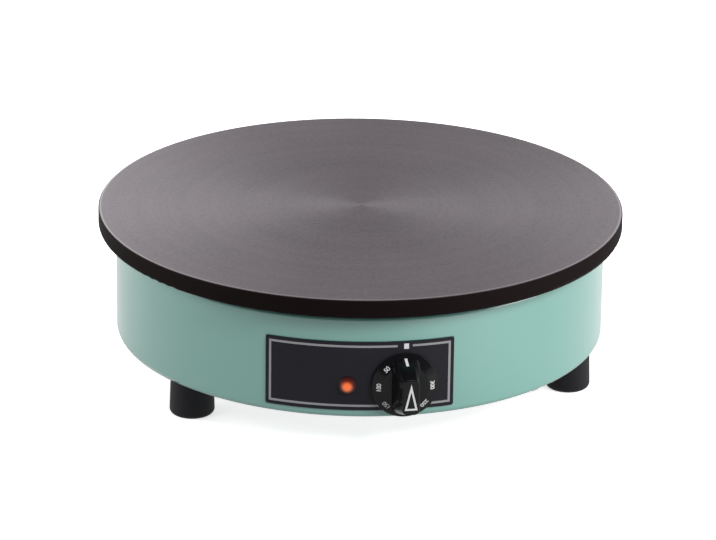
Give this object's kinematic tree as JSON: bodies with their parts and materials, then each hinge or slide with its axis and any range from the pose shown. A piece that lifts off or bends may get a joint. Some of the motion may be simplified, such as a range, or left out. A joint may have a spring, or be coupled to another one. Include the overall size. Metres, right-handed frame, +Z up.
{
  "type": "electric crepe maker",
  "caption": "Round electric griddle: flat cast-iron cooking plate on a low enamelled body with three rubber feet, a thermostat knob and a pilot lamp.",
  "frame": {"origin": "on the counter, under the centre of the cooking plate", "axes": "+Z up, the control panel faces -Y, +X to the right seen from the front"},
  "size_m": [0.3999, 0.4226, 0.126],
  "materials": {
    "cast_iron": "fine turned, seasoned",
    "green_enamel": "gloss enamel",
    "black_panel": "satin",
    "black_knob": "gloss",
    "black_rubber": "matt",
    "black_plastic": "matt",
    "amber_lens": "clear amber",
    "white_plastic": "matt",
    "earth_green": "silicone jacket",
    "red_plastic": "gloss",
    "dark_red_plastic": "gloss",
    "zinc_steel": "zinc plated",
    "sheet_steel": "bare sheet",
    "element_steel": "heat darkened",
    "copper": "bare",
    "brass": "bare",
    "ceramic": "matt",
    "ceramic_fibre": "soft blanket"
  },
  "bodies": {
    "housing": {"griddle_plate": "cast_iron", "outer_heating_element": "element_steel", "inner_heating_element": "element_steel", "element_clamp_plate": "sheet_steel", "insulation_disc": "ceramic_fibre", "heat_shield": "sheet_steel", "clamp_studs": "zinc_steel", "clamp_nuts": "zinc_steel", "shield_washers": "zinc_steel", "shield_nuts": "zinc_steel", "element_insulators": "ceramic", "thermostat_bulb": "copper", "limiter_bulb": "copper", "body_shell": "green_enamel", "base_plate": "sheet_steel", "base_screws": "zinc_steel", "base_nuts": "zinc_steel", "foot_rear": "black_rubber", "foot_left": "black_rubber", "foot_right": "black_rubber", "foot_washers": "zinc_steel", "foot_screws": "zinc_steel", "foot_nuts": "zinc_steel", "support_posts": "zinc_steel", "tie_studs": "zinc_steel", "tie_nuts": "zinc_steel", "control_panel": "black_panel", "thermostat_body": "black_plastic", "thermostat_plate": "zinc_steel", "thermostat_screws": "zinc_steel", "thermostat_tabs": "brass", "lamp_bezel": "dark_red_plastic", "lamp_lens": "amber_lens", "lamp_nut": "black_plastic", "lamp_holder": "black_plastic", "limiter_body": "black_plastic", "limiter_nut": "zinc_steel", "limiter_tabs": "brass", "gland_washer": "black_rubber", "gland_body": "black_plastic", "gland_nut": "black_plastic", "gland_cap": "black_plastic", "gland_seal": "black_rubber", "terminal_block": "ceramic", "terminal_clamps": "brass", "terminal_screws": "zinc_steel", "earth_stud": "zinc_steel", "earth_nuts": "brass", "supply_wires": "white_plastic", "limiter_wire": "white_plastic", "element_wires": "white_plastic", "earth_wire": "earth_green", "lamp_wires": "white_plastic", "thermostat_capillary": "copper", "limiter_capillary": "copper"},
    "knob": {"control_knob": "black_knob", "thermostat_shaft": "zinc_steel"},
    "reset": {"reset_button": "red_plastic"}
  },
  "joints": [
    {"name": "knob_turn", "type": "hinge", "parent": "housing", "child": "knob", "pos_m": [0.03399, -0.18429, 0.0545], "axis": [-0.1814, 0.9834, 0], "range_deg": [0, 270]},
    {"name": "reset_press", "type": "slide", "parent": "housing", "child": "reset", "axis": [0, 0, 1], "range_m": [0, 0.002], "stiffness_N_per_m": 500, "springref_m": -0.002}
  ]
}
